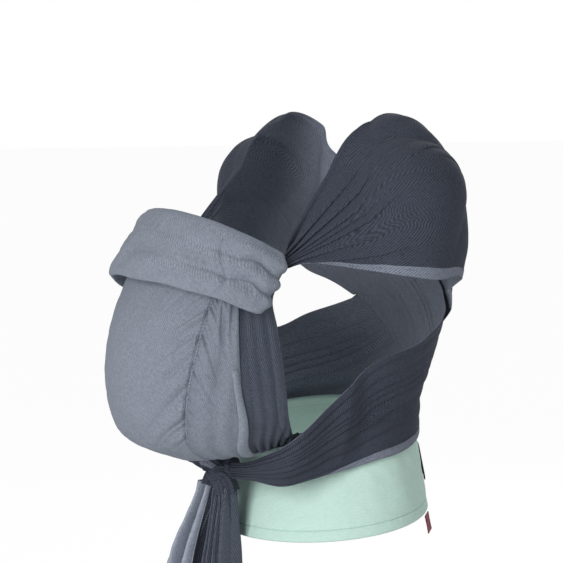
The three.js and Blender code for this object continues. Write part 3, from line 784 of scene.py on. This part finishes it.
def hug(p, clearance, taut):
    """Points moved out along the slope of outside() to the clearance; taut ones are also drawn in to it."""
    step = 0.5
    for _ in range(6):
        slope = np.stack([(outside(p + d) - outside(p - d)) / (2 * step) for d in step * np.eye(3)], -1)
        steep = np.maximum(np.linalg.norm(slope, axis=-1), 0.2)
        short = clearance - outside(p) / steep
        move = np.where(short > 0, short, short * taut)
        p = p + slope * (move / steep)[..., None]
    return p


def strap_base(s, t, lift):
    """The strap's smooth surface: a parabola through neck edge, middle line and hem, hugging the body."""
    lines = (NECK_EDGE, MIDDLE_LINE, HEM_EDGE)
    shares = (2 * t * t - 3 * t + 1, 4 * t - 4 * t * t, 2 * t * t - t)
    p = sum(rail(line, s) * share[..., None] for line, share in zip(lines, shares))
    return hug(p, STRAP_CLEARANCE + lift * between(s, CROSSING), between(s, TAUT))


def strap(name, sign, lift, seed):
    """A strap with its pleats.

    Across the strap, at t, the cloth zigzags: it shifts sideways by lean sin(a) and outwards by out sin(a),
    where a grows by a full turn a pleat. Both are large at the two gathered ends, where the folds lie on
    each other, and fade over the shoulder, each pleat after its own length.
    """
    s, t = np.meshgrid(steps(0, 1, 370), steps(1, 0, 132), indexing="ij")
    base = strap_base(s, t, lift)
    way = base - FAN_ROOT
    fanned = 1 - np.arctan2(way @ FAN_UP, way @ FAN_ALONG) / FAN_ANGLE
    at = fanned + (t - fanned) * smooth(s, 0.17, 0.36)
    uneven = 0.045 * np.sin(2 * math.pi * (1.6 * at + 0.15 + 0.1 * seed))
    uneven = uneven + 0.016 * np.sin(21 * at + 2 * seed)
    wander = 0.5 * np.sin(8 * s + 2.1 * seed) * smooth(s, 0.3, 0.5)
    angle = 2 * math.pi * (PLEATS * (at + uneven) + wander)
    reach = 0.19 + 0.05 * np.sin(2 * math.pi * (2.2 * t + 0.3)) - 0.03 * np.cos(2 * math.pi * 4.7 * t)
    reach = reach + 0.2 * (1 - smooth(t, 0.05, 0.3))
    fan = np.exp(-((s / reach) ** 2) * 1.1)
    back = between(s, (0.36, 0.5, 0.88, 0.98))
    knotted = smooth(s, 0.62, 1.0)
    edge = np.clip(np.sin(math.pi * t), 0, 1) ** 0.35
    lean = (0.046 * fan + 0.014 * back + 0.05 * knotted) * edge
    at_corner = 4.0 * bump(s, 0, 0.05) + 2.0 * fan * (1 + 0.35 * np.sin(15 * at + seed))
    at_knot = 1.1 * knotted + 3.6 * smooth(s, 0.93, 1.0)
    out = at_corner + 0.7 * back + at_knot
    n = normals_of(base)
    p = strap_base(s, t + lean * np.sin(angle), lift)
    fold = np.sin(angle) + 0.2 * np.sin(2 * angle + 0.8)
    soft = 0.7 * ripple(p, 50, seed) * between(s, (0.08, 0.25, 0.9, 1.0))
    hem_width = 9 * smooth(s, 0.02, 0.26) - 10 * smooth(s, 0.7, 0.84)
    width = np.linalg.norm(rail(HEM_EDGE, s) - rail(NECK_EDGE, s), axis=-1) * 1.12
    from_hem = (1 - t) * width - hem_width
    p = p + n * (out * fold * edge + soft + 0.5 * (from_hem < 0) * smooth(s, 0.05, 0.15))[..., None]
    run = np.broadcast_to(lengths(rail(HEM_EDGE, s[:, :1]), 0), s.shape)
    if sign < 0:
        p, from_hem = p[:, ::-1] * [-1, 1, 1], from_hem[:, ::-1]
    return sheet(name, p, STRAP_CLOTH, turned=from_hem, stitch=nearest_row(from_hem, -1.6), run=run)


strap_cloth = woven("strap_twill", STRAP_FACE, STRAP_REVERSE, STRAP_THREAD, contrast=0.5, rib=0.8)
for side, sign, lift, seed in (("left", 1, CROSSING_LIFT, 1), ("right", -1, 0.0, 2)):
    piece = strap(f"{side}_wrap_strap", sign, lift, seed)
    piece.data.materials.append(strap_cloth)
    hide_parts(f"{side}_strap_shoulder", f"{side}_strap_back", f"{side}_strap_waist")
    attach(piece, "sling")

# ---- Knot --------------------------------------------------------------------------------------------
# The straps' gathered ends, each taken once round the other and drawn tight under the pouch.

KNOT = np.array([0, -138, 65])
KNOT_RING = 13.5


def carried(path, outward, round_about, width, thick):
    """An oval carried along a path: width across it, and thick in the direction away from its middle."""
    along = np.gradient(path, axis=0)
    along /= np.linalg.norm(along, axis=-1, keepdims=True)
    side = np.cross(along, outward)
    side /= np.linalg.norm(side, axis=-1, keepdims=True)
    up = np.cross(side, along)
    across, out = width * np.cos(round_about), thick * np.sin(round_about)
    return path[:, None] + side[:, None] * across[..., None] + up[:, None] * out[..., None]


def knot_turn(name, sign, first, last):
    """A pleated band that leaves its strap's end, goes round the ring and down into its tail."""
    ring = np.linspace(first, last, 9)
    middle = KNOT + [sign * KNOT_RING / 2, 0, 0]
    tilt = math.radians(45 * sign)
    loop = np.stack([np.cos(ring), np.sin(ring) * math.cos(tilt), np.sin(ring) * math.sin(tilt)], -1)
    start = KNOT + [sign * 29, 0, 0]
    tail_top = KNOT + [sign * 15.2, 0, -25]
    points = np.vstack([[start], middle + KNOT_RING * loop, [tail_top]])
    s, q = np.meshgrid(steps(0, 1, 200), steps(0, 2 * math.pi, 130)[:-1], indexing="ij")
    path = rail(points, s[:, 0])
    pleat = 1 + 0.09 * np.cos(7 * q + 3 * s) + 0.06 * np.cos(13 * q - 5 * s)
    falling = smooth(s, 0.74, 1)
    width = 8.6 + 1.4 * between(s, (0.1, 0.3, 0.6, 0.8)) + 4.2 * falling
    thick = 6.4 + 2.6 * falling
    p = carried(path, path - middle, q, width * pleat, thick * pleat)
    return tube(name, p, reverse=smooth(np.cos(q - 0.6), 0.86, 0.9) * (sign < 0))


for side, sign, first, last in (("left", -1, math.pi, 2.7 * math.pi), ("right", 1, 0, 1.75 * math.pi)):
    piece = knot_turn(f"{side}_knot", sign, first, last)
    piece.data.materials.append(strap_cloth)
    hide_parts(f"{side}_knot_turn")
    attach(piece, "sling")

# ---- Tails -------------------------------------------------------------------------------------------
# What is left of each strap below the knot: a wide strip that hangs in upright folds. The left one has
# turned its grey-blue side out.

TAIL_LENGTH = 470
TAIL_TOP_Z = 46
TAIL_LEAN = -32
TAIL_CLOTH_WIDTH = 250
TAIL_TOP = (12, 8)  # half width and half depth at the knot
# For each tail: which side, half width and half depth at its foot, number of folds, and seed.
TAILS = {"left": (-1, (44, 24), 2.7, 6), "right": (1, (28.5, 20), 4.6, 8)}
# The left tail is the strap's grey-blue reverse and hem thread, painted about twice as light as STRAP_REVERSE
# and STRAP_THREAD: painted light on the hanging tail.
TAIL_LIT_REVERSE = (0.37, 0.41, 0.49)
TAIL_LIT_THREAD = (0.30, 0.335, 0.40)
# The right tail is the strap's charcoal face, painted nearly twice as light as STRAP_FACE: painted light on
# the hanging tail.
TAIL_LIT_CHARCOAL = (0.072, 0.083, 0.112)
DARK_THREAD = (0.11, 0.125, 0.16)


def tail(name, sign, foot, folds, seed):
    """A strip that meanders across its width: side to side by its half width, to and fro by a sine wave.

    It is drawn together at the knot and spreads as it falls. Folds drift, lean and merge on the way down.
    """
    down, across = np.meshgrid(steps(0, 1, 190), steps(0, 1, 254), indexing="ij")
    spread = smooth(down, -0.1, 0.32)
    flare = 0.86 + 0.14 * smooth(down, 0.2, 1) + 0.03 * np.sin(7 * down + seed)
    width, depth = (top + (low - top) * spread for top, low in zip(TAIL_TOP, foot))
    drift = 0.05 * np.sin(2.6 * down + 0.7 * seed) * smooth(down, 0.1, 0.6)
    uneven = across + 0.045 * np.sin(2 * math.pi * (1.3 * across + 0.1 * seed) + 1.4 * down)
    uneven = uneven + 0.016 * np.sin(25 * across + 6 * down) + drift * np.sin(math.pi * across)
    angle = 2 * math.pi * folds * uneven + 1.3 * np.sin(3 * down + seed) + 0.5 * np.sin(8 * down)
    swing = np.sin(angle) + 0.16 * np.sin(3 * angle + 1)
    limp = 0.5 + 0.5 * np.sin(2 * math.pi * (1.7 * across + 0.9 * down + 0.1 * seed))
    calm = 1 - 0.45 * limp * smooth(down, 0.12, 0.5)
    side = -np.cos(math.pi * uneven) - (0.09 - 0.05 * smooth(down, 0.1, 0.6)) * np.sin(2 * angle)
    x = TAIL_LEAN * spread + sign * (1.6 + width) + side * width * 0.9 * flare
    y = KNOT[1] + depth * swing * calm * 0.86
    drop = TAIL_LENGTH * down * (1 - 0.035 * across * smooth(down, 0.3, 1))
    p = np.stack([x, y, TAIL_TOP_Z - drop], -1)
    sway = 1.6 * ripple(p * [1, 1, 0.35], 60, seed) * smooth(down, 0.05, 0.3)
    creases = ripple(p * [1, 1, 0.12], 13, seed + 3) * (0.9 - 0.4 * smooth(down, 0.1, 0.6))
    p = p + np.stack([0.6 * sway * np.sin(angle * 0.5), sway + creases, 0 * sway], -1)
    from_other = np.maximum(sign * (p[..., 0] - TAIL_LEAN * spread), 1.1)
    p[..., 0] = TAIL_LEAN * spread + sign * from_other
    from_end = TAIL_LENGTH * (1 - down)
    from_side = np.minimum(across, 1 - across) * TAIL_CLOTH_WIDTH
    stitch = 100 + np.minimum(np.abs(from_end - 10), np.abs(from_side - 9))
    run = np.where(from_side < 12, drop, across * TAIL_CLOTH_WIDTH) * 0.001
    return sheet(name, p, STRAP_CLOTH, stitch=stitch, run=run)


# The left tail's cloth is a lit copy of the strap's reverse: painted light.
lit_tail_cloth = woven("tail_reverse_lit", TAIL_LIT_REVERSE, CHARCOAL, TAIL_LIT_THREAD, contrast=0.36, rib=0.35, turn=12)
# The right tail's cloth is a lit copy of the strap's face: painted light.
lit_tail_face_cloth = woven("tail_face_lit", TAIL_LIT_CHARCOAL, TAIL_LIT_CHARCOAL, DARK_THREAD, contrast=0.5, rib=0.8)
for (side, (sign, foot, folds, seed)), cloth in zip(TAILS.items(), (lit_tail_cloth, lit_tail_face_cloth)):
    piece = tail(f"{side}_tail_cloth", sign, foot, folds, seed)
    piece.data.materials.append(cloth)
    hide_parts(f"{side}_strap_tail")
    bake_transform(piece)

# ---- Webbing and buckle ------------------------------------------------------------------------------
# Black ribbed webbing, sewn to each end of the band, meets in a side-release buckle of moulded plastic.

BAND_FACE = 8.0
WEBBING_HEIGHT = 38
WEBBING_CLOTH = 1.6
WEBBING_LIFT = 0.7
WEBBING_STRAIGHT = 54
WEBBING_RIB = 1.9
WEBBING_BLACK = (0.022, 0.024, 0.030)
WEBBING_THREAD = (0.10, 0.11, 0.13)


def webbing(name, sign, reach):
    """A strip between two rails, which lie on the band's face and then run straight to x = reach."""
    behind = band_point(0, BAND_HEIGHT / 2, BAND_FACE)[1] + 3
    middle = BAND_REST + BAND_HEIGHT / 2 + BAND_TILT * behind - 4
    s, t = np.meshgrid(steps(0, 1, 150), steps(0, 1, 40), indexing="ij")

    def edge(rise):
        off = BAND_FACE + WEBBING_LIFT + WEBBING_CLOTH / 2
        share = [1 - inset if sign > 0 else inset for inset in (0.05, 0.025, 0)]
        sewn = [band_point(x, BAND_HEIGHT / 2 - 4 + rise, off) for x in share]
        ends = [reach + (WEBBING_STRAIGHT - reach) * x for x in (1, 2 / 3, 1 / 3, 0)]
        return sewn + [np.array([sign * x, behind, middle + rise]) for x in ends]

    low, high = rail(edge(-WEBBING_HEIGHT / 2), s), rail(edge(WEBBING_HEIGHT / 2), s)
    p = low + (high - low) * t[..., None]
    if sign > 0:
        p = p[:, ::-1]
    ribs = 0.16 * np.sin(2 * math.pi * lengths(p, 0) * 1000 / WEBBING_RIB)
    from_edge = np.minimum(t, 1 - t) * WEBBING_HEIGHT
    thick = WEBBING_CLOTH * (0.72 + 0.28 * smooth(from_edge, 0, 1.4)) + ribs * smooth(from_edge, 2, 2.6)
    box = np.minimum(np.abs(lengths(p, 0) * 1000 - 12), np.abs(from_edge - 4) + 99 * (s > 0.5))
    run = lengths(p, 0) + lengths(p, 1)
    return sheet(name, p, thick, reverse=np.zeros_like(s), stitch=100 + box, run=run)


ribbed = {"pitch": 0.9, "rib": 0.9, "rib_pitch": WEBBING_RIB, "turn": 90}
webbing_cloth = woven("ribbed_webbing", WEBBING_BLACK, WEBBING_BLACK, WEBBING_THREAD, **ribbed)
for side, sign, reach in (("left", 1, 30.4), ("right", -1, 4)):
    piece = webbing(f"{side}_webbing", sign, reach)
    piece.data.materials.append(webbing_cloth)
    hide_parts(f"webbing_{side}")
    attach(piece, "sling")


def moulded(name, colour):
    """Moulded plastic: satin, with a fine spark-eroded grain and faint flow marks in its gloss."""
    made = bpy.data.materials.new(name)
    made.use_nodes = True
    paint = Paint(made.node_tree)
    place = paint.node("ShaderNodeTexCoord", None, None, 3)
    grain = paint.node("ShaderNodeTexNoise", None, {"Vector": place, "Scale": 2200.0, "Detail": 3.0})
    flow = paint.node("ShaderNodeTexNoise", None, {"Vector": place, "Scale": 60.0, "Detail": 2.0})
    fine = paint.node("ShaderNodeBump", None, {"Strength": 0.25, "Distance": 0.0002, "Height": grain})
    surface = {"Base Color": [*colour, 1], "Roughness": flow * 0.2 + 0.32, "Normal": fine}
    shell = paint.node("ShaderNodeBsdfPrincipled", None, surface)
    paint.node("ShaderNodeOutputMaterial", None, {"Surface": shell})
    return made


plastic = moulded("buckle_plastic", (0.017, 0.018, 0.022))
for node in ("buckle_socket", "buckle_tongue", "upper_prong", "lower_prong"):
    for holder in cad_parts[node].material_slots:
        holder.material = plastic

# ---- Label -------------------------------------------------------------------------------------------
# A small folded loop of crimson ribbon, sewn into the band's lower seam near its left end.

LABEL = (20, 20)
LABEL_SHARE = 0.918
CRIMSON = (0.19, 0.008, 0.035)
LABEL_THREAD = (0.30, 0.03, 0.06)


def label():
    """A flat loop that hangs from the seam, with a slight curl towards its free edge."""
    down, across = np.meshgrid(steps(0, 1, 60), steps(0, 1, 60), indexing="ij")
    hem = band_point(np.array(LABEL_SHARE), 0, COVER_OFF)
    along = band_point(np.array(LABEL_SHARE + 0.01), 0, COVER_OFF) - hem
    along /= np.linalg.norm(along)
    up = band_point(np.array(LABEL_SHARE), 10, COVER_OFF) - hem
    up -= along * (up @ along)
    up /= np.linalg.norm(up)
    out = np.cross(along, up)
    curl = 0.7 * np.sin(3 * down) * np.sin(2.4 * across) + 0.5 * down**3
    p = hem + along * ((across - 0.5) * LABEL[0])[..., None] - up * (0.4 + down * LABEL[1])[..., None]
    p = p - out * curl[..., None]
    border = np.minimum(np.minimum(across, 1 - across) * LABEL[0], (1 - down) * LABEL[1])
    return sheet("label_loop", p, 1.1, stitch=nearest_row(border, 1.8), run=(across + down) * 0.02)


piece = label()
ribbon = woven(
    "label_ribbon", CRIMSON, CRIMSON, LABEL_THREAD, 0.5, 0.2, rib=0.3, rib_pitch=1.0, turn=0, rough=0.55
)
piece.data.materials.append(ribbon)
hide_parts("label_tag")
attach(piece, "label")
